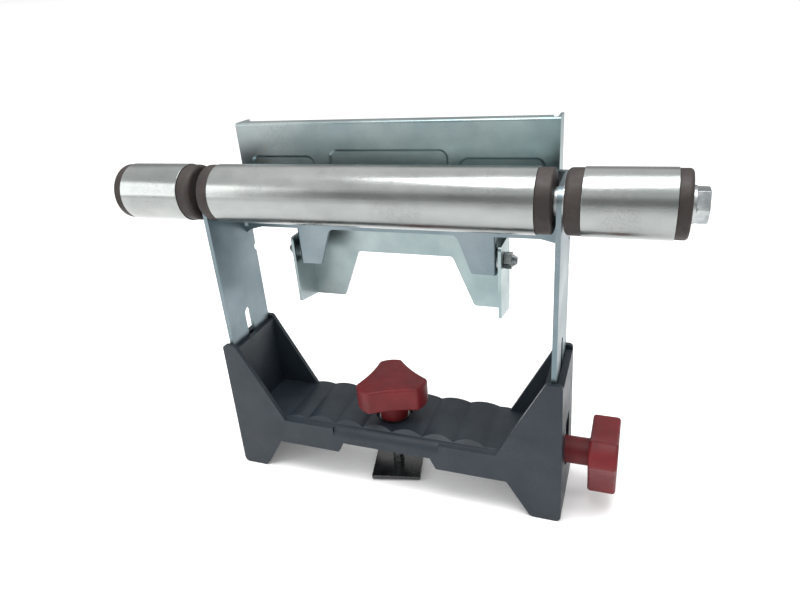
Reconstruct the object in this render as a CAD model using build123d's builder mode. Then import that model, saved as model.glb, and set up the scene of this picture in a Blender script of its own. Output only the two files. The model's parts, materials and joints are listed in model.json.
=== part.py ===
"""Clamp-on roller support with a flip-up length stop, for the rail of a mitre saw stand.

A moulded saddle clamps to the rail.  A bent steel lift frame slides in its two wings and carries
three rollers on one axle, and a folded stop plate hinges behind the rollers.
X runs along the rollers, Y from front to back, Z up; millimetres.
Here y = 0 is the middle of the uprights; the parts are saved moved forward by the setback, so
that the origin lies on the plane under the feet below the middle of the whole.
"""
from build123d import *
import os
from math import cos, radians, sin

os.makedirs("parts", exist_ok=True)

# Driving dimensions
setback = 3.5                   # middle of the whole behind the middle of the uprights
axle_z = 217.0                  # roller axle above the plane under the feet
axle_y = -15.5                  # roller axle in front of the middle of the uprights
roller_r = 19.0
tube_wall = 1.5
centre_half = 103.5             # half length of the centre roller's tube
side_near, side_far = 127.5, 173.5   # ends of a side roller's tube
axle_r = 4.98
axle_bore_r = 5.03              # running bore in the caps
sheet = 3.0                     # sheet of the lift frame
upright_out = 117.2             # outer face of an upright
upright_half_y = 24.5           # half width of an upright
upright_foot = 2.0              # lower end of an upright
ear_r = 9.0                     # round of the uprights' upper front corners about the axle
ear_top = axle_z + ear_r
wall_front = 16.5               # front face of the wall that joins the uprights
slot_half = 4.3                 # half width of the height slot
slot_low, slot_high = 10.5, 124.5
tab_low = axle_z - 60.5
wall_low = axle_z - 34.0        # lower edge of the frame's back wall
fit = 0.3                       # sliding clearance of the frame in the saddle
stop_sheet = 2.0
stop_front = 20.0               # front face of the upright stop plate
stop_top = axle_z + 39.0
stop_half = 110.0
leg_front = 39.5                # front face of the stop's lower part
notch_top = axle_z - 58.3
ear_front = 13.3                # front edge of the stop's ears
ear_high = axle_z - 40.0        # top edge of the stop's ears
leg_low = axle_z - 95.0
hinge_y, hinge_z = 25.5, axle_z - 52.8
tab_out, hinge_out = 72.0, 76.0      # outer face of a tab's ear, outer face of a stop's ear
wing_out = 121.8                # outer face of a wing at its top
wing_draft = 1.5                # how much further out it stands at its foot
wing_top = 106.0
wall_top = 103.0                # tops of the walls between a wing's ribs
body_half_y = 28.2              # half depth of the saddle
rib = 3.4                       # thickness of the wings' front and back ribs
deck_z = 46.2                   # troughs of the deck's waves
deck_edge = 7.0                 # radius of the deck's front edge
wave_height, wave_pitch, wave_shift = 2.2, 22.6, 3.5
pad_z = 26.0                    # underside of the deck where it stands on the rail
recess_z, recess_half = 34.4, 33.5   # shallow channel across the underside
screw_z = 39.5                  # height lock screw and guide bolt
nut_seat = 110.1                # outer end of the pockets for their captive nuts
plate_r, plate_top = 11.0, 64.0      # pressure plate under the height lock's knob
stud_r = 3.95                   # M8 studs
thread_r = 4.0                  # threaded holes for them
clamp_x = -2.0                  # rail clamp's axis
knob_r, knob_head, knob_edge = 26.8, 18.0, 2.2
lobe_angle, waist_r, knob_corner = 19, 18.0, 3.5  # half angle of a knob's lobe, radius midway between two lobes
m8_flat, m10_flat = 13.0, 17.0  # across the flats


def save(part, name):
    placed = part.moved(Location((0, -setback, 0)))
    placed.label = name
    export_step(placed, f"parts/{name}.step")


def along_x(x):
    """A plane across X at x, with its local x along Y and its local y along Z."""
    return Plane(origin=(x, 0, 0), x_dir=(0, 1, 0), z_dir=(1, 0, 0))


def across_y(y):
    """A plane across Y at y, with its local x along X and its local y along Z, facing the front."""
    return Plane(origin=(0, y, 0), x_dir=(1, 0, 0), z_dir=(0, -1, 0))


def washer(name, x, thickness, outer_r, inner_r, y=axle_y, z=axle_z):
    """A round washer on an axis along X, from x to x + thickness."""
    with BuildPart() as ring:
        with BuildSketch(along_x(x)):
            with Locations((y, z)):
                Circle(outer_r)
                Circle(inner_r, mode=Mode.SUBTRACT)
        extrude(amount=thickness)
    save(ring.part, name)


def hex_fastener(name, head_x, head, shank_end, shank_r, flat, y, z, turn=0):
    """A hexagon bolt along X: a head from head_x to head_x + head, and a shank to shank_end."""
    with BuildPart() as bolt:
        with BuildSketch(along_x(head_x)):
            with Locations((y, z)):
                RegularPolygon(flat / 2, 6, major_radius=False, rotation=turn)
        extrude(amount=head)
        chamfer(bolt.edges().filter_by(GeomType.LINE).filter_by(Axis.X, reverse=True), 0.5)
        shank_start = head_x if abs(shank_end - head_x) < abs(shank_end - head_x - head) else head_x + head
        with BuildSketch(along_x(shank_start)):
            with Locations((y, z)):
                Circle(shank_r)
        extrude(amount=shank_end - shank_start)
    save(bolt.part, name)


def hex_nut(name, x, thickness, bore_r, flat, y, z):
    """A hexagon nut on an axis along X, from x to x + thickness."""
    with BuildPart() as nut:
        with BuildSketch(along_x(x)):
            with Locations((y, z)):
                RegularPolygon(flat / 2, 6, major_radius=False)
                Circle(bore_r, mode=Mode.SUBTRACT)
        extrude(amount=thickness)
        outer = nut.edges().filter_by(GeomType.LINE).filter_by(Axis.X, reverse=True)
        chamfer(outer, 0.5)
    save(nut.part, name)


def knob_face(turn):
    """Three blunt lobes about a centre, with shallow hollows between them."""

    def at(radius, angle):
        return (radius * cos(radians(angle)), radius * sin(radians(angle)))

    corner_r = knob_r - 0.8
    with BuildSketch() as face:
        with BuildLine():
            for lobe in range(3):
                middle = turn + 120 * lobe
                near, far = middle + lobe_angle, middle + 120 - lobe_angle
                ThreePointArc(at(corner_r, middle - lobe_angle), at(knob_r, middle), at(corner_r, near))
                ThreePointArc(at(corner_r, near), at(waist_r, middle + 60), at(corner_r, far))
        make_face()
        fillet(face.vertices(), knob_corner)
    return face.sketch


def lobed_knob(name, base, turn, stem_r, head_start, bores):
    """A knob on a plane: a round stem, a lobed head, and bores given as (start, end, radius)."""
    with BuildPart() as knob:
        with BuildSketch(base.offset(head_start)):
            add(knob_face(turn))
        extrude(amount=knob_head)
        fillet(knob.edges(), knob_edge)
        with BuildSketch(base):
            Circle(stem_r)
        extrude(amount=head_start + 1)
        for start, end, radius in bores:
            with BuildSketch(base.offset(start)):
                Circle(radius)
            extrude(amount=end - start, mode=Mode.SUBTRACT)
    save(knob.part, name)


# Saddle -----------------------------------------------------------------------------------------
def wing_outline(side):
    """Front view of a wing: a slanted inner edge above the deck and a splayed foot below it."""
    foot_out = wing_out + wing_draft
    with BuildLine() as outline:
        Polyline((side * 40, pad_z), (side * 87, pad_z), (side * 102.5, 1.5), (side * 104.5, 0),
                 (side * (foot_out - 4), 0))
        RadiusArc((side * (foot_out - 4), 0), (side * foot_out, 4), side * -4)
        Line((side * foot_out, 4), (side * wing_out, wing_top - 3))
        RadiusArc((side * wing_out, wing_top - 3), (side * (wing_out - 3), wing_top), side * -3)
        Line((side * (wing_out - 3), wing_top), (side * 113, wing_top))
        RadiusArc((side * 113, wing_top), (side * 110.4, wing_top - 2), side * -3)
        Polyline((side * 110.4, wing_top - 2), (side * 79.5, deck_z), (side * 40, deck_z), (side * 40, pad_z))
    return outline


with BuildPart() as waves:
    # convex waves across the deck, sloped down at their front ends
    with BuildSketch(across_y(-body_half_y + 5)):
        with BuildLine():
            troughs = [wave_shift + wave_pitch * step for step in range(-3, 4)]
            edges = [-79.5] + troughs + [79.5]
            for left, right in zip(edges, edges[1:]):
                rise = wave_height * min(1.0, ((right - left) / wave_pitch) ** 2)
                ThreePointArc((left, deck_z), ((left + right) / 2, deck_z + rise), (right, deck_z))
            Polyline((79.5, deck_z), (79.5, deck_z - 2), (-79.5, deck_z - 2), (-79.5, deck_z))
        make_face()
    extrude(amount=-2 * body_half_y + 5)
    with BuildSketch(along_x(-80)):
        with BuildLine():
            Polyline((-body_half_y + 4, deck_z - 2), (-body_half_y + 11, deck_z + 3),
                     (-body_half_y, deck_z + 3), (-body_half_y, deck_z - 2), (-body_half_y + 4, deck_z - 2))
        make_face()
    extrude(amount=160, mode=Mode.SUBTRACT)

with BuildPart() as saddle:
    for side in (-1, 1):
        for front in (-body_half_y, body_half_y - rib):
            with BuildSketch(across_y(front)):
                add(wing_outline(side))
                make_face()
            extrude(amount=-rib)
        # inner and outer walls, with the frame's pocket between them
        with BuildSketch(across_y(-body_half_y + 1)):
            with BuildLine():
                Polyline((side * 110.4, 0), (side * (wing_out + wing_draft - 4), 0),
                         (side * (wing_out + wing_draft), 4), (side * wing_out, wall_top),
                         (side * 110.4, wall_top), (side * 110.4, 0))
            make_face()
        extrude(amount=-2 * body_half_y + 2)
    # deck with a rounded front edge
    with BuildSketch(along_x(-111)):
        with BuildLine():
            Line((-body_half_y, pad_z), (-body_half_y, deck_z - deck_edge))
            RadiusArc((-body_half_y, deck_z - deck_edge), (-body_half_y + deck_edge, deck_z), deck_edge)
            Polyline((-body_half_y + deck_edge, deck_z), (body_half_y, deck_z), (body_half_y, pad_z),
                     (-body_half_y, pad_z))
        make_face()
    extrude(amount=222)
    add(waves.part)
    # slanted underside of the splayed feet
    for side in (-1, 1):
        with BuildSketch(across_y(-body_half_y + rib)):
            with BuildLine():
                Polyline((side * 87, pad_z - 1), (side * 110.4, pad_z - 1), (side * 110.4, pad_z + 3),
                         (side * 87, pad_z + 3), (side * 87, pad_z - 1))
            make_face()
        extrude(amount=-2 * (body_half_y - rib), mode=Mode.SUBTRACT)
    # hollow underside, left solid round the clamp's stud
    with BuildSketch(Plane.XY.offset(pad_z - 1)):
        for side in (-1, 1):
            with Locations((side * 58, 0)):
                Rectangle(80, 2 * (body_half_y - rib - 0.6))
            for step in (-1, 1):
                with Locations((side * 58 + step * 13, 0)):
                    Rectangle(2.4, 60, mode=Mode.SUBTRACT)
    extrude(amount=deck_z - pad_z - 3, mode=Mode.SUBTRACT)
    # shallow channel that locates on the rail
    with BuildSketch(across_y(-body_half_y - 1)):
        with BuildLine():
            Polyline((-recess_half - 4, pad_z - 1), (-recess_half - 4, pad_z), (-recess_half, recess_z),
                     (recess_half, recess_z), (recess_half + 4, pad_z), (recess_half + 4, pad_z - 1),
                     (-recess_half - 4, pad_z - 1))
        make_face()
    extrude(amount=-2 * body_half_y - 2, mode=Mode.SUBTRACT)
    # pocket that the uprights slide in
    for side in (-1, 1):
        with BuildSketch(Plane.XY.offset(-1)):
            with Locations((side * (upright_out - sheet / 2), 0)):
                Rectangle(sheet + 2 * fit, 2 * (upright_half_y + fit))
        extrude(amount=wing_top + 2, mode=Mode.SUBTRACT)
    # stud hole with a round recess for the clamp knob's stem
    with Locations((clamp_x, 0, deck_z - 1.1)):
        Cylinder(13.5, 8, align=(Align.CENTER, Align.CENTER, Align.MIN), mode=Mode.SUBTRACT)
    with Locations((clamp_x, 0, 0)):
        Cylinder(4.5, deck_z + 5, align=(Align.CENTER, Align.CENTER, Align.MIN), mode=Mode.SUBTRACT)
    # screw holes through the wings, with hexagon pockets for the captive nuts on the inside
    with BuildSketch(along_x(-wing_out - 1)):
        with Locations((0, screw_z)):
            Circle(4.2)
    extrude(amount=2 * wing_out + 2, mode=Mode.SUBTRACT)
    for side in (-1, 1):
        with BuildSketch(along_x(side * nut_seat)):
            with Locations((0, screw_z)):
                RegularPolygon(m8_flat / 2 + 0.1, 6, major_radius=False)
        extrude(amount=-side * 14, mode=Mode.SUBTRACT)
    # window in the right outer wall for the pressure plate
    with BuildSketch(along_x(upright_out)):
        with Locations((0, screw_z)):
            Circle(plate_r + 0.4)
        with Locations((0, (screw_z + plate_top) / 2)):
            Rectangle(2 * plate_r + 0.8, plate_top - screw_z + 0.8)
    extrude(amount=8, mode=Mode.SUBTRACT)
save(saddle.part, "base_saddle")


# Rail clamp -------------------------------------------------------------------------------------
clamp_axis = Plane.XY.shift_origin((clamp_x, 0, 0))
lobed_knob("rail_clamp_knob", clamp_axis.offset(46.8), 112, 10.3, 13.7,
           [(-1, 13.2, 6.0), (13.2, 29.2, 4.3)])

with BuildPart() as insert:
    with BuildSketch(clamp_axis.offset(47.6)):
        Circle(6.0)
        Circle(thread_r, mode=Mode.SUBTRACT)
    extrude(amount=12.2)
save(insert.part, "rail_clamp_insert")

with BuildPart() as clamp_washer:
    with BuildSketch(clamp_axis.offset(deck_z - 1.1)):
        Circle(10.9)
        Circle(4.3, mode=Mode.SUBTRACT)
    extrude(amount=1.6)
save(clamp_washer.part, "rail_clamp_washer")

with BuildPart() as clamp_stud:
    with BuildSketch(clamp_axis.offset(1.5)):
        Circle(stud_r)
    extrude(amount=52.5)
    chamfer(clamp_stud.edges().filter_by(GeomType.CIRCLE).sort_by(Axis.Z)[-1], 0.8)
save(clamp_stud.part, "rail_clamp_stud")

with BuildPart() as clamp_plate:
    with BuildSketch(clamp_axis.offset(1.5)):
        with Locations(Location((0, 0, 0), (0, 0, 13))):
            RectangleRounded(36.5, 40, 1.5)
        Circle(stud_r, mode=Mode.SUBTRACT)
    extrude(amount=3)
    chamfer(clamp_plate.edges().group_by(Axis.Z)[-1], 0.4)
save(clamp_plate.part, "rail_clamp_plate")

# Height lock on the right wing, guide bolt on the left -------------------------------------------
lock_axis = along_x(0).shift_origin((0, 0, screw_z))
lobed_knob("height_lock_knob", lock_axis.offset(121.0), 25, 9.2, 17.0, [(-1, 29.0, stud_r)])

with BuildPart() as lock_stud:
    with BuildSketch(along_x(104.0)):
        with Locations((0, screw_z)):
            Circle(stud_r)
    extrude(amount=46)
    chamfer(lock_stud.edges().filter_by(GeomType.CIRCLE).sort_by(Axis.X)[0], 0.8)
save(lock_stud.part, "height_lock_stud")

with BuildPart() as lock_plate:
    with BuildSketch(along_x(upright_out + 0.7)):
        with Locations((0, screw_z)):
            Circle(plate_r)
        with Locations((0, (screw_z + plate_top) / 2)):
            Rectangle(2 * plate_r, plate_top - screw_z)
        with Locations((0, screw_z)):
            Circle(stud_r + 0.05, mode=Mode.SUBTRACT)
    extrude(amount=3)
    fillet(lock_plate.edges().filter_by(Axis.X).sort_by(Axis.Z)[-2:], 2)
save(lock_plate.part, "height_lock_plate")

hex_nut("height_lock_nut", 103.6, 6.5, thread_r, m8_flat, 0, screw_z)
hex_nut("guide_nut", -nut_seat, 6.5, stud_r, m8_flat, 0, screw_z)
washer("guide_washer", -124.7, 1.6, 8.5, 4.1, 0, screw_z)
hex_fastener("guide_bolt", -130.0, 5.3, -103.0, stud_r, m8_flat, 0, screw_z)

# Lift frame --------------------------------------------------------------------------------------
inner = upright_out - sheet
wall_back = wall_front + sheet
tab_bend = 2.0

with BuildPart() as frame:
    # the channel of wall and upper uprights, bent round at the back corners
    with BuildSketch(Plane.XY.offset(wall_low)) as channel:
        with Locations((0, (wall_back - upright_half_y) / 2)):
            Rectangle(2 * upright_out, wall_back + upright_half_y)
        with Locations((0, (wall_front - upright_half_y) / 2)):
            Rectangle(2 * inner, wall_front + upright_half_y, mode=Mode.SUBTRACT)
        rows = channel.vertices().group_by(Axis.Y)
        bend_corners = [corner for corner in rows[-2] if abs(corner.X) < inner + 1]
        fillet(list(rows[-1]) + bend_corners, sheet)
    extrude(amount=ear_top - wall_low)
    for side in (-1, 1):
        with BuildSketch(along_x(side * inner)):
            with Locations((0, (upright_foot + wall_low) / 2)):
                Rectangle(2 * upright_half_y, wall_low - upright_foot)
        extrude(amount=side * sheet)
    # two tapered tabs below the wall
    for side in (-1, 1):
        with BuildSketch(across_y(wall_front)) as tab:
            with BuildLine():
                Polyline((side * tab_out, wall_low), (side * tab_out, tab_low), (side * 55.5, tab_low),
                         (side * 46, wall_low), (side * 40, wall_low), (side * 40, wall_low + 3),
                         (side * tab_out, wall_low + 3), (side * tab_out, wall_low))
            make_face()
            fillet(tab.vertices().filter_by(lambda v: abs(abs(v.X) - 46) < 0.1), 5)
            fillet(tab.vertices().filter_by(lambda v: abs(abs(v.X) - 55.5) < 0.1), 2)
        extrude(amount=-sheet)
        # ear bent back from the tab to carry the hinge bolt
        with BuildSketch(along_x(side * tab_out)):
            with Locations((hinge_y, hinge_z)):
                Circle(8)
            with Locations(((wall_front + hinge_y) / 2, hinge_z)):
                Rectangle(hinge_y - wall_front, 16)
        extrude(amount=-side * sheet)
    bends = [edge for edge in frame.edges().filter_by(Axis.Z)
             if abs(abs(edge.center().X) - tab_out) < 0.01 and abs(edge.center().Y - wall_front) < 0.01]
    fillet(bends, tab_bend)
    for side in (-1, 1):
        # gusset between the wall and the upright
        with BuildSketch(across_y(wall_front)):
            with BuildLine():
                Polyline((side * (inner - 14), wall_low), (side * (inner - 14), wall_low + 3),
                         (side * (inner + 1), wall_low + 3), (side * (inner + 1), wall_low - 5),
                         (side * inner, wall_low - 5), (side * (inner - 4), wall_low - 2.5),
                         (side * (inner - 14), wall_low))
            make_face()
        extrude(amount=-sheet)
    # front corners of the uprights' tops
    fillet(frame.edges().filter_by(Axis.X).group_by(Axis.Z)[-1].group_by(Axis.Y)[0], ear_r - 0.05)
    with BuildSketch(along_x(-upright_out - 1)):
        with Locations((axle_y, axle_z)):
            Circle(axle_r + 0.05)
        with Locations((0, (slot_low + slot_high) / 2)):
            SlotOverall(slot_high - slot_low, 2 * slot_half, rotation=90)
        with Locations((hinge_y, hinge_z)):
            Circle(3.03)
    extrude(amount=2 * upright_out + 2, mode=Mode.SUBTRACT)
save(frame.part, "lift_frame")

# Stop plate --------------------------------------------------------------------------------------
pressed = [  # panels pressed back from the front face: left, right and top edges
    (-102, -52, axle_z + 17.0),
    (-41, 42, axle_z + 21.0),
    (48, 102, axle_z + 16.0),
]
press_depth, panel_low = 1.4, axle_z - 18.0


def panel_face(left, right, top, grow):
    """A pressed panel's outline with round corners, grown outwards by a margin."""
    with BuildSketch() as face:
        with Locations(((left + right) / 2, (top + panel_low) / 2)):
            RectangleRounded(right - left + 2 * grow, top - panel_low + 2 * grow, 6 + grow)
    return face.sketch


with BuildPart() as stop:
    with BuildSketch(across_y(stop_front)) as front:
        with BuildLine():
            Polyline((-stop_half, axle_z - 30), (-stop_half, stop_top), (stop_half, stop_top),
                     (stop_half, axle_z - 30), (-stop_half, axle_z - 30))
        make_face()
        chamfer(front.vertices().sort_by(Axis.Z)[-2:].sort_by(Axis.X)[0], 3)
        chamfer(front.vertices().sort_by(Axis.X)[-1:], 2)
    extrude(amount=-stop_sheet)
    # top edge folded back, side edges folded back
    with Locations((0, stop_front + 4, stop_top - stop_sheet / 2)):
        Box(2 * stop_half - 10, 8, stop_sheet)
    for side in (-1, 1):
        with Locations((side * (stop_half - stop_sheet / 2), stop_front + 8, axle_z + 4.5)):
            Box(stop_sheet, 16, 69)
    top_bends = stop.edges().filter_by(Axis.X).group_by(Axis.Z)[-1].group_by(Axis.Y)[0]
    fillet(top_bends, 1.9)
    # joggle down to the set-back lower part
    with BuildSketch(along_x(-hinge_out)):
        with BuildLine():
            Polyline((stop_front, axle_z - 26), (stop_front, axle_z - 30.8), (leg_front, axle_z - 40.6),
                     (leg_front, axle_z - 43), (leg_front + stop_sheet, axle_z - 43),
                     (leg_front + stop_sheet, axle_z - 39.6), (stop_front + stop_sheet, axle_z - 29.8),
                     (stop_front + stop_sheet, axle_z - 26), (stop_front, axle_z - 26))
        make_face()
    extrude(amount=2 * hinge_out)
    with BuildSketch(across_y(leg_front)) as legs:
        with BuildLine():
            Polyline((-hinge_out, axle_z - 41), (-hinge_out, leg_low), (-51, leg_low), (-36, notch_top),
                     (36, notch_top), (51, leg_low), (hinge_out, leg_low), (hinge_out, axle_z - 41),
                     (-hinge_out, axle_z - 41))
        make_face()
        fillet(legs.vertices().filter_by(lambda v: abs(v.X) < 52), 3)
    extrude(amount=-stop_sheet)
    # ears folded forward, round at the top about the hinge bolts
    for side in (-1, 1):
        with BuildSketch(along_x(side * hinge_out)) as ear:
            with BuildLine():
                Line((leg_front + stop_sheet, leg_low), (ear_front, leg_low + 5))
                Line((ear_front, leg_low + 5), (ear_front, ear_high - 3))
                RadiusArc((ear_front, ear_high - 3), (ear_front + 3, ear_high), 3)
                Polyline((ear_front + 3, ear_high), (leg_front + stop_sheet, ear_high),
                         (leg_front + stop_sheet, leg_low))
            make_face()
            with Locations((hinge_y, hinge_z)):
                Circle(3.03, mode=Mode.SUBTRACT)
        extrude(amount=-side * stop_sheet)
    for left, right, top in pressed:
        with BuildSketch(across_y(stop_front + stop_sheet)):
            add(panel_face(left, right, top, 0))
        extrude(amount=-press_depth, taper=50)
        with BuildSketch(across_y(stop_front)):
            add(panel_face(left, right, top, 0))
        extrude(amount=-press_depth, taper=50, mode=Mode.SUBTRACT)
save(stop.part, "stop_plate")

for side, end in ((-1, "left"), (1, "right")):
    head_x = side * (tab_out - sheet)
    hex_fastener(f"hinge_bolt_{end}", min(head_x, head_x - side * 4), 4, side * 84.5, 2.98, 10,
                 hinge_y, hinge_z, turn=30)
    washer(f"hinge_washer_{end}", min(side * tab_out, side * 73.7), 1.7, 7.5, 3.03, hinge_y, hinge_z)
    hex_nut(f"hinge_nut_{end}", min(side * 76.2, side * 83.2), 7, 2.98, 10, hinge_y, hinge_z)

# Rollers and their axle --------------------------------------------------------------------------
hex_fastener("axle_bolt", 182.2, 6.4, -188.6, axle_r, m10_flat, axle_y, axle_z)
hex_nut("axle_nut", -187.2, 5.0, axle_r, m10_flat, axle_y, axle_z)
washer("end_washer_left", -182.2, 1.6, 10, 5.1)
washer("end_washer_right", 180.6, 1.6, 10, 5.1)
washer("spacer_washer_left_outer", -118.2, 1.0, 10, 5.1)
washer("spacer_washer_left_inner", -114.2, 1.6, 8, 5.1)
washer("spacer_washer_right_inner", 112.6, 1.6, 8, 5.1)
washer("spacer_washer_right_outer", 117.2, 1.0, 10, 5.1)


def roller_tube(name, start, length):
    """A steel tube on the axle's axis."""
    washer(name, start, length, roller_r, roller_r - tube_wall)


def roller_cap(name, tube_end, outer_end, rounding):
    """A plug whose head stands from the tube's end to its outer end, with a spigot in the tube."""
    outward = 1 if outer_end > tube_end else -1
    with BuildPart() as cap:
        with BuildSketch(along_x(tube_end)):
            with Locations((axle_y, axle_z)):
                Circle(roller_r - 0.6)
        extrude(amount=outer_end - tube_end)
        outer = cap.edges().filter_by(GeomType.CIRCLE).sort_by(Axis.X)
        fillet(outer[-1] if outward > 0 else outer[0], rounding)
        with BuildSketch(along_x(tube_end)):
            with Locations((axle_y, axle_z)):
                Circle(roller_r - tube_wall)
        extrude(amount=-outward * 9)
        with BuildSketch(along_x(tube_end - outward * 9)):
            with Locations((axle_y, axle_z)):
                Circle(axle_bore_r)
        extrude(amount=outer_end - tube_end + outward * 9, mode=Mode.SUBTRACT)
    save(cap.part, name)


roller_tube("roller_tube_centre", -centre_half, 2 * centre_half)
roller_tube("roller_tube_left", -side_far, side_far - side_near)
roller_tube("roller_tube_right", side_near, side_far - side_near)
roller_cap("cap_centre_left", -centre_half, -112.3, 1.5)
roller_cap("cap_centre_right", centre_half, 112.3, 1.5)
roller_cap("cap_left_inner", -side_near, -118.5, 3)
roller_cap("cap_right_inner", side_near, 118.5, 3)
roller_cap("cap_left_outer", -side_far, -180.3, 2.2)
roller_cap("cap_right_outer", side_far, 180.3, 2.2)
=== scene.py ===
import bpy
import bmesh
import json
from math import cos, radians
from mathutils import Matrix, Vector

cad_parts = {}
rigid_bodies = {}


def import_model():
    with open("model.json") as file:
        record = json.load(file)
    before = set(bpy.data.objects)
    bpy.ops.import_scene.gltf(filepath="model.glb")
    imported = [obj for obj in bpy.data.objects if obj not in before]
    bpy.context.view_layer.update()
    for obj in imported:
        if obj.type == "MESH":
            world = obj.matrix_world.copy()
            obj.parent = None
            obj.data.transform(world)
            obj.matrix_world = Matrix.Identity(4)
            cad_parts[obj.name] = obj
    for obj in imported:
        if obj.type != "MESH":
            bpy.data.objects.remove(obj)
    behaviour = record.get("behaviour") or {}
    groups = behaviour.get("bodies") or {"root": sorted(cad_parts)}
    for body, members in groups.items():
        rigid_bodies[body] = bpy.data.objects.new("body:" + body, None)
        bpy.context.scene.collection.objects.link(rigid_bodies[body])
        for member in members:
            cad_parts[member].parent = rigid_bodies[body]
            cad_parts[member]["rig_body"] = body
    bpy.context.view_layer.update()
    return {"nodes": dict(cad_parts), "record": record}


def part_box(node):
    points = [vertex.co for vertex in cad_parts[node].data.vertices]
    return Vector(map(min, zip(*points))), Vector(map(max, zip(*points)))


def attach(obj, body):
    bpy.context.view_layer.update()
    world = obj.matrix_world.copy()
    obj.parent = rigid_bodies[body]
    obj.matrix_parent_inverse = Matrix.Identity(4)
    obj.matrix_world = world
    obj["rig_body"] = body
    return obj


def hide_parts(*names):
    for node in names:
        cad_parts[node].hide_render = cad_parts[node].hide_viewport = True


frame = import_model()
nodes = frame["nodes"]
scene = bpy.context.scene


# camera, floor and light

def setRamp(ramp, stops):
    elements = ramp.color_ramp.elements
    while len(elements) < len(stops):
        elements.new(0.5)
    for element, (place, colour) in zip(elements, stops):
        element.position = place
        element.color = colour


def addCamera():
    view = {"azimuth": 22.245, "elevation": 24.747, "roll": -4.834,
            "place": (0.1550, -0.3583, 0.3178), "lens": 28.16}
    data = bpy.data.cameras.new("viewCamera")
    data.lens = view["lens"]
    data.sensor_width = 36
    data.clip_start = 0.01
    camera = bpy.data.objects.new("viewCamera", data)
    swing = Matrix.Rotation(radians(view["azimuth"]), 4, "Z")
    tilt = Matrix.Rotation(radians(90 - view["elevation"]), 4, "X")
    turn = swing @ tilt
    roll = Matrix.Rotation(radians(view["roll"]), 4, "Z")
    camera.matrix_world = Matrix.Translation(view["place"]) @ turn @ roll
    scene.collection.objects.link(camera)
    scene.camera = camera


def addFloor():
    settings = {"half": 60.0, "colour": (0.96, 0.96, 0.96, 1), "roughness": 0.9, "glow": 0.12}
    mesh = bpy.data.meshes.new("studioFloor")
    bm = bmesh.new()
    bmesh.ops.create_grid(bm, x_segments=1, y_segments=1, size=settings["half"])
    bm.to_mesh(mesh)
    bm.free()
    floor = bpy.data.objects.new("studioFloor", mesh)
    scene.collection.objects.link(floor)
    material = bpy.data.materials.new("floorPaper")
    material.use_nodes = True
    shader = material.node_tree.nodes["Principled BSDF"]
    shader.inputs["Base Color"].default_value = settings["colour"]
    shader.inputs["Roughness"].default_value = settings["roughness"]
    shader.inputs["Emission Color"].default_value = (1, 1, 1, 1)
    shader.inputs["Emission Strength"].default_value = settings["glow"]
    mesh.materials.append(material)


def addLight(name, place, aim, size, power, colour=(1, 1, 1)):
    data = bpy.data.lights.new(name, "AREA")
    data.shape = "RECTANGLE"
    data.size, data.size_y = size
    data.energy = power
    data.color = colour
    light = bpy.data.objects.new(name, data)
    light.location = place
    light.rotation_euler = (Vector(aim) - Vector(place)).to_track_quat("-Z", "Y").to_euler()
    scene.collection.objects.link(light)


def lightStudio():
    # room brightness by height: white at the floor line, a darker wall, a soft bright ceiling
    room = {"steps": ((0.0, 1.0), (0.03, 1.0), (0.09, 0.42), (0.40, 0.34), (0.62, 1.0), (1.0, 1.0)),
            "strength": 1.15}
    world = bpy.data.worlds.new("softRoom")
    world.use_nodes = True
    tree = world.node_tree
    direction = tree.nodes.new("ShaderNodeTexCoord")
    split = tree.nodes.new("ShaderNodeSeparateXYZ")
    ramp = tree.nodes.new("ShaderNodeValToRGB")
    setRamp(ramp, [(place, (level, level, level, 1)) for place, level in room["steps"]])
    tree.links.new(direction.outputs["Generated"], split.inputs[0])
    tree.links.new(split.outputs["Z"], ramp.inputs["Fac"])
    tree.links.new(ramp.outputs["Color"], tree.nodes["Background"].inputs["Color"])
    tree.nodes["Background"].inputs["Strength"].default_value = room["strength"]
    scene.world = world
    addLight("keyOverhead", (0.1, -0.15, 1.2), (0, 0, 0.12), (0.9, 0.5), 12)
    addLight("fillLeft", (-1.1, -0.9, 0.6), (0, 0, 0.12), (0.6, 0.9), 5)
    scene.view_settings.view_transform = "Standard"


addCamera()
addFloor()
lightStudio()
print("camera, floor and light ready")


# finishes

def addNoise(tree, place, scale, detail, stretch=(1, 1, 1)):
    mapping = tree.nodes.new("ShaderNodeMapping")
    mapping.inputs["Scale"].default_value = stretch
    noise = tree.nodes.new("ShaderNodeTexNoise")
    noise.inputs["Scale"].default_value = scale
    noise.inputs["Detail"].default_value = detail
    noise.inputs["Roughness"].default_value = 0.6
    tree.links.new(place, mapping.inputs["Vector"])
    tree.links.new(mapping.outputs["Vector"], noise.inputs["Vector"])
    return noise.outputs["Fac"]


def remap(tree, value, low, high, toLow, toHigh):
    node = tree.nodes.new("ShaderNodeMapRange")
    for socket, number in zip(("From Min", "From Max", "To Min", "To Max"), (low, high, toLow, toHigh)):
        node.inputs[socket].default_value = number
    tree.links.new(value, node.inputs["Value"])
    return node.outputs["Result"]


def mixColours(tree, fac, first, second, blend="MIX"):
    node = tree.nodes.new("ShaderNodeMix")
    node.data_type = "RGBA"
    node.blend_type = blend
    if isinstance(fac, float):
        node.inputs["Factor"].default_value = fac
    else:
        tree.links.new(fac, node.inputs["Factor"])
    for socket, colour in ((node.inputs[6], first), (node.inputs[7], second)):
        if isinstance(colour, tuple):
            socket.default_value = (*colour, 1)
        else:
            tree.links.new(colour, socket)
    return node.outputs[2]


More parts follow.
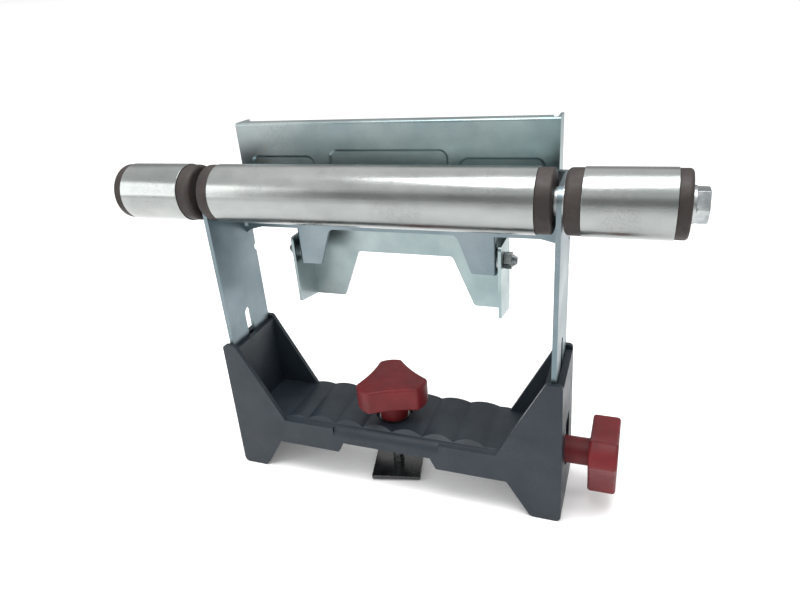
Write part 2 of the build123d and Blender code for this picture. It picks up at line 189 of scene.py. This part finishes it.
def makeFinish(name, look):
    # cloudy colour, fine specks, uneven gloss and a fine grain, all on object coordinates
    material = bpy.data.materials.new(name)
    material.use_nodes = True
    tree = material.node_tree
    shader = tree.nodes["Principled BSDF"]
    shader.inputs["Metallic"].default_value = look["metal"]
    if look["metal"] == 0:
        shader.inputs["Specular IOR Level"].default_value = look["shine"]
    place = tree.nodes.new("ShaderNodeTexCoord").outputs["Object"]
    stretch = look.get("stretch", (1, 1, 1))
    clouds = remap(tree, addNoise(tree, place, look["cloud"], 4, stretch), 0.36, 0.64, 0, 1)
    colour = mixColours(tree, clouds, look["dark"], look["light"])
    # painted shade: the along tint is multiplied in from start to end of one axis, darkening that side of the
    # part
    if "along" in look:
        axis, start, end, tint = look["along"]
        split = tree.nodes.new("ShaderNodeSeparateXYZ")
        tree.links.new(place, split.inputs[0])
        colour = mixColours(tree, remap(tree, split.outputs[axis], start, end, 0, 1), colour, tint, "MULTIPLY")
    if "specks" in look:
        size, amount, tint = look["specks"]
        specks = remap(tree, addNoise(tree, place, size, 2), amount, amount + 0.05, 0, 1)
        patches = remap(tree, addNoise(tree, place, look["cloud"] * 1.7, 2), 0.45, 0.62, 0, 1)
        both = tree.nodes.new("ShaderNodeMath")
        both.operation = "MULTIPLY"
        tree.links.new(specks, both.inputs[0])
        tree.links.new(patches, both.inputs[1])
        colour = mixColours(tree, both.outputs[0], colour, tint)
    tree.links.new(colour, shader.inputs["Base Color"])
    gloss = remap(tree, addNoise(tree, place, look["cloud"] * 2.3, 3, stretch), 0.3, 0.7, *look["rough"])
    tree.links.new(gloss, shader.inputs["Roughness"])
    bump = tree.nodes.new("ShaderNodeBump")
    bump.inputs["Strength"].default_value = look["bump"]
    bump.inputs["Distance"].default_value = look["depth"]
    tree.links.new(addNoise(tree, place, look["grain"], 3, stretch), bump.inputs["Height"])
    tree.links.new(bump.outputs["Normal"], shader.inputs["Normal"])
    return material


finishes = {
    "saddle": makeFinish("saddlePlastic", {
        "metal": 0, "shine": 0.36, "cloud": 22, "dark": (0.010, 0.017, 0.025), "light": (0.018, 0.026, 0.035),
        "specks": (1500, 0.62, (0.040, 0.048, 0.056)), "rough": (0.40, 0.56),
        "grain": 1400, "bump": 0.22, "depth": 0.0002}),
    "knob": makeFinish("knobPlastic", {
        "metal": 0, "shine": 0.28, "cloud": 45, "dark": (0.105, 0.009, 0.011), "light": (0.155, 0.011, 0.014),
        "specks": (900, 0.60, (0.070, 0.012, 0.012)), "rough": (0.42, 0.56),
        "grain": 1100, "bump": 0.22, "depth": 0.0002}),
    "cap": makeFinish("capPlastic", {
        "metal": 0, "shine": 0.30, "cloud": 60, "dark": (0.022, 0.017, 0.015), "light": (0.038, 0.030, 0.027),
        "rough": (0.50, 0.68), "grain": 1200, "bump": 0.3, "depth": 0.0002}),
    "sheet": makeFinish("zincSheet", {
        "metal": 1.0, "cloud": 16, "dark": (0.25, 0.30, 0.31), "light": (0.37, 0.41, 0.41),
        # painted shade: the zinc sheet turns darker and bluer towards +X
        "along": ("X", -0.11, 0.12, (0.80, 0.92, 0.92)), "specks": (2200, 0.56, (0.22, 0.25, 0.26)),
        "rough": (0.28, 0.42), "grain": 600, "bump": 0.10, "depth": 0.0003}),
    # painted shade: a darker copy of the zinc sheet finish for the lift frame, standing in for the shadow the
    # rollers cast on its wall
    "lift": makeFinish("zincSheetShaded", {
        "metal": 1.0, "cloud": 12, "dark": (0.135, 0.180, 0.200), "light": (0.215, 0.260, 0.280),
        "specks": (2200, 0.57, (0.12, 0.15, 0.16)), "rough": (0.30, 0.44),
        "grain": 600, "bump": 0.10, "depth": 0.0003}),
    "roller": makeFinish("rollerSteel", {
        "metal": 1.0, "cloud": 20, "stretch": (0.4, 1, 1),
        "dark": (0.27, 0.29, 0.285), "light": (0.37, 0.385, 0.375),
        "specks": (2600, 0.54, (0.20, 0.205, 0.20)), "rough": (0.17, 0.28),
        "grain": 900, "bump": 0.14, "depth": 0.0003}),
    "hardware": makeFinish("zincHardware", {
        "metal": 1.0, "cloud": 120, "dark": (0.22, 0.24, 0.25), "light": (0.42, 0.44, 0.44),
        "rough": (0.24, 0.40), "grain": 900, "bump": 0.1, "depth": 0.0002}),
    "black": makeFinish("blackPlate", {
        "metal": 0, "shine": 0.7, "cloud": 40, "dark": (0.006, 0.006, 0.007), "light": (0.016, 0.017, 0.018),
        "rough": (0.16, 0.30), "grain": 700, "bump": 0.1, "depth": 0.0002}),
    "brass": makeFinish("brassInsert", {
        "metal": 1.0, "cloud": 90, "dark": (0.45, 0.30, 0.10), "light": (0.62, 0.44, 0.16),
        "rough": (0.25, 0.40), "grain": 900, "bump": 0.1, "depth": 0.0002}),
}
finishOfSlot = {
    "saddle_plastic": "saddle", "knob_plastic": "knob", "cap_plastic": "cap", "zinc_sheet": "sheet",
    "roller_steel": "roller", "hardware": "hardware", "black_steel": "black", "brass": "brass",
}
slotOf = {part["node"]: part["material_slot"] for part in frame["record"]["subparts"]}
finishOf = {nodeName: finishes[finishOfSlot[slot]] for nodeName, slot in slotOf.items()}
# painted shade: the lift frame is zinc sheet too, but takes the darker shaded copy
finishOf["lift_frame"] = finishes["lift"]
for nodeName, node in nodes.items():
    node.data.materials.clear()
    node.data.materials.append(finishOf[nodeName])
print("finishes ready")


# pieces

def addPiece(name, bm, nodeName):
    # puts the finished mesh in place of its node, on the same body and with the same finish
    mesh = bpy.data.meshes.new(name)
    bm.to_mesh(mesh)
    bm.free()
    for face in mesh.polygons:
        face.use_smooth = True
    mesh.materials.append(finishOf[nodeName])
    piece = bpy.data.objects.new(name, mesh)
    scene.collection.objects.link(piece)
    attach(piece, nodes[nodeName]["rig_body"])
    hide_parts(nodeName)
    return piece


def roundEdges(piece, width, segments, angle=32):
    bevel = piece.modifiers.new("softEdges", "BEVEL")
    bevel.width = width
    bevel.segments = segments
    bevel.limit_method = "ANGLE"
    bevel.angle_limit = radians(angle)
    bevel.use_clamp_overlap = True
    bevel.harden_normals = True
    shading = piece.modifiers.new("evenShading", "WEIGHTED_NORMAL")
    shading.keep_sharp = True


def softCopy(name, nodeName, edge):
    # a welded copy of the node, its flat faces joined up and its sharp edges broken
    weld = {"distance": 0.000005, "flatWithin": 0.6}
    bm = bmesh.new()
    bm.from_mesh(nodes[nodeName].data)
    bmesh.ops.remove_doubles(bm, verts=bm.verts, dist=weld["distance"])
    bmesh.ops.dissolve_limit(bm, angle_limit=radians(weld["flatWithin"]), verts=bm.verts, edges=bm.edges)
    piece = addPiece(name, bm, nodeName)
    roundEdges(piece, edge["width"], edge["segments"])
    return piece


softEdges = {
    "saddleMoulding": ("base_saddle", {"width": 0.0006, "segments": 3}),
    "liftChannel": ("lift_frame", {"width": 0.0003, "segments": 2}),
    "stopPanel": ("stop_plate", {"width": 0.0003, "segments": 2}),
    "clampKnobGrip": ("rail_clamp_knob", {"width": 0.0003, "segments": 2}),
    "lockKnobGrip": ("height_lock_knob", {"width": 0.0003, "segments": 2}),
    "clampPlate": ("rail_clamp_plate", {"width": 0.0003, "segments": 2}),
    "lockPressurePlate": ("height_lock_plate", {"width": 0.0004, "segments": 2}),
    "centreTube": ("roller_tube_centre", {"width": 0.0003, "segments": 2}),
    "leftTube": ("roller_tube_left", {"width": 0.0003, "segments": 2}),
    "rightTube": ("roller_tube_right", {"width": 0.0003, "segments": 2}),
    "centreCapLeft": ("cap_centre_left", {"width": 0.0003, "segments": 2}),
    "centreCapRight": ("cap_centre_right", {"width": 0.0003, "segments": 2}),
    "leftCapInner": ("cap_left_inner", {"width": 0.0003, "segments": 2}),
    "leftCapOuter": ("cap_left_outer", {"width": 0.0003, "segments": 2}),
    "rightCapInner": ("cap_right_inner", {"width": 0.0003, "segments": 2}),
    "rightCapOuter": ("cap_right_outer", {"width": 0.0003, "segments": 2}),
}
for pieceName, (nodeName, edge) in softEdges.items():
    softCopy(pieceName, nodeName, edge)
print("moulding, sheet parts, knobs and rollers ready")


def addRod(bm, side, ends, radius, segments=40, outerRadius=None):
    # a round or six-sided bar along X between two ends, about a centre in Y and Z
    start, end = ends
    place = Matrix.Translation(((start + end) / 2, side[0], side[1])) @ Matrix.Rotation(radians(90), 4, "Y")
    farRadius = radius if outerRadius is None else outerRadius
    made = bmesh.ops.create_cone(bm, cap_ends=True, segments=segments, radius1=radius, radius2=farRadius,
                                 depth=end - start, matrix=place)
    return made["verts"]


def chamferedHex(bm, side, ends, flat, turn=0):
    # hexagon with its corners cut back at both ends, as turned on a nut
    cutBack = 0.16  # share of the corner radius
    corner = flat / 2 / cos(radians(30))
    verts = addRod(bm, side, ends, corner, 6)
    spin = Matrix.Rotation(radians(turn), 3, "X")
    bmesh.ops.rotate(bm, verts=verts, cent=(0, side[0], side[1]), matrix=spin)
    bmesh.ops.bevel(bm, geom=verts, offset=corner * cutBack, segments=2, profile=0.5,
                    affect="VERTICES", material=-1)


def middle(nodeName):
    low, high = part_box(nodeName)
    return low[0], high[0], ((low[1] + high[1]) / 2, (low[2] + high[2]) / 2)


def addHingeNuts():
    nut = {"flat": 0.010, "hex": 0.0050, "collar": 0.0042, "rim": 0.0032}
    for side in ("left", "right"):
        low, high, centre = middle(f"hinge_nut_{side}")
        bm = bmesh.new()
        inner, outer = (high, low) if side == "left" else (low, high)
        step = nut["hex"] if side == "right" else -nut["hex"]
        chamferedHex(bm, centre, sorted((inner, inner + step)), nut["flat"])
        ends = sorted((inner + step, outer))
        wide, narrow = nut["collar"], nut["rim"]
        addRod(bm, centre, ends, wide if side == "right" else narrow, 40, narrow if side == "right" else wide)
        piece = addPiece(f"hingeLockNut{side.title()}", bm, f"hinge_nut_{side}")
        roundEdges(piece, 0.0002, 2)


def addHexHardware():
    # head, shank and chamfered tip of each bolt; headOn is the end in X that the head is on
    tip = {"length": 0.001, "step": 0.0008}
    bolts = {
        "axleHexBolt": ("axle_bolt", {
            "flat": 0.017, "shank": 0.00498, "head": 0.0064, "headOn": "high", "turn": 0}),
        "guideHexBolt": ("guide_bolt", {
            "flat": 0.013, "shank": 0.00395, "head": 0.0053, "headOn": "low", "turn": 0}),
        "hingeBoltLeft": ("hinge_bolt_left", {
            "flat": 0.010, "shank": 0.00298, "head": 0.004, "headOn": "high", "turn": 30}),
        "hingeBoltRight": ("hinge_bolt_right", {
            "flat": 0.010, "shank": 0.00298, "head": 0.004, "headOn": "low", "turn": 30}),
    }
    for name, (nodeName, bolt) in bolts.items():
        low, high, centre = middle(nodeName)
        bm = bmesh.new()
        if bolt["headOn"] == "high":
            chamferedHex(bm, centre, (high - bolt["head"], high), bolt["flat"], bolt["turn"])
            addRod(bm, centre, (low + tip["length"], high - bolt["head"]), bolt["shank"])
            addRod(bm, centre, (low, low + tip["length"]), bolt["shank"] - tip["step"], 40, bolt["shank"])
        else:
            chamferedHex(bm, centre, (low, low + bolt["head"]), bolt["flat"], bolt["turn"])
            addRod(bm, centre, (low + bolt["head"], high - tip["length"]), bolt["shank"])
            addRod(bm, centre, (high - tip["length"], high), bolt["shank"], 40, bolt["shank"] - tip["step"])
        roundEdges(addPiece(name, bm, nodeName), 0.0002, 2)


addHingeNuts()
addHexHardware()
print("bolts and nuts ready")
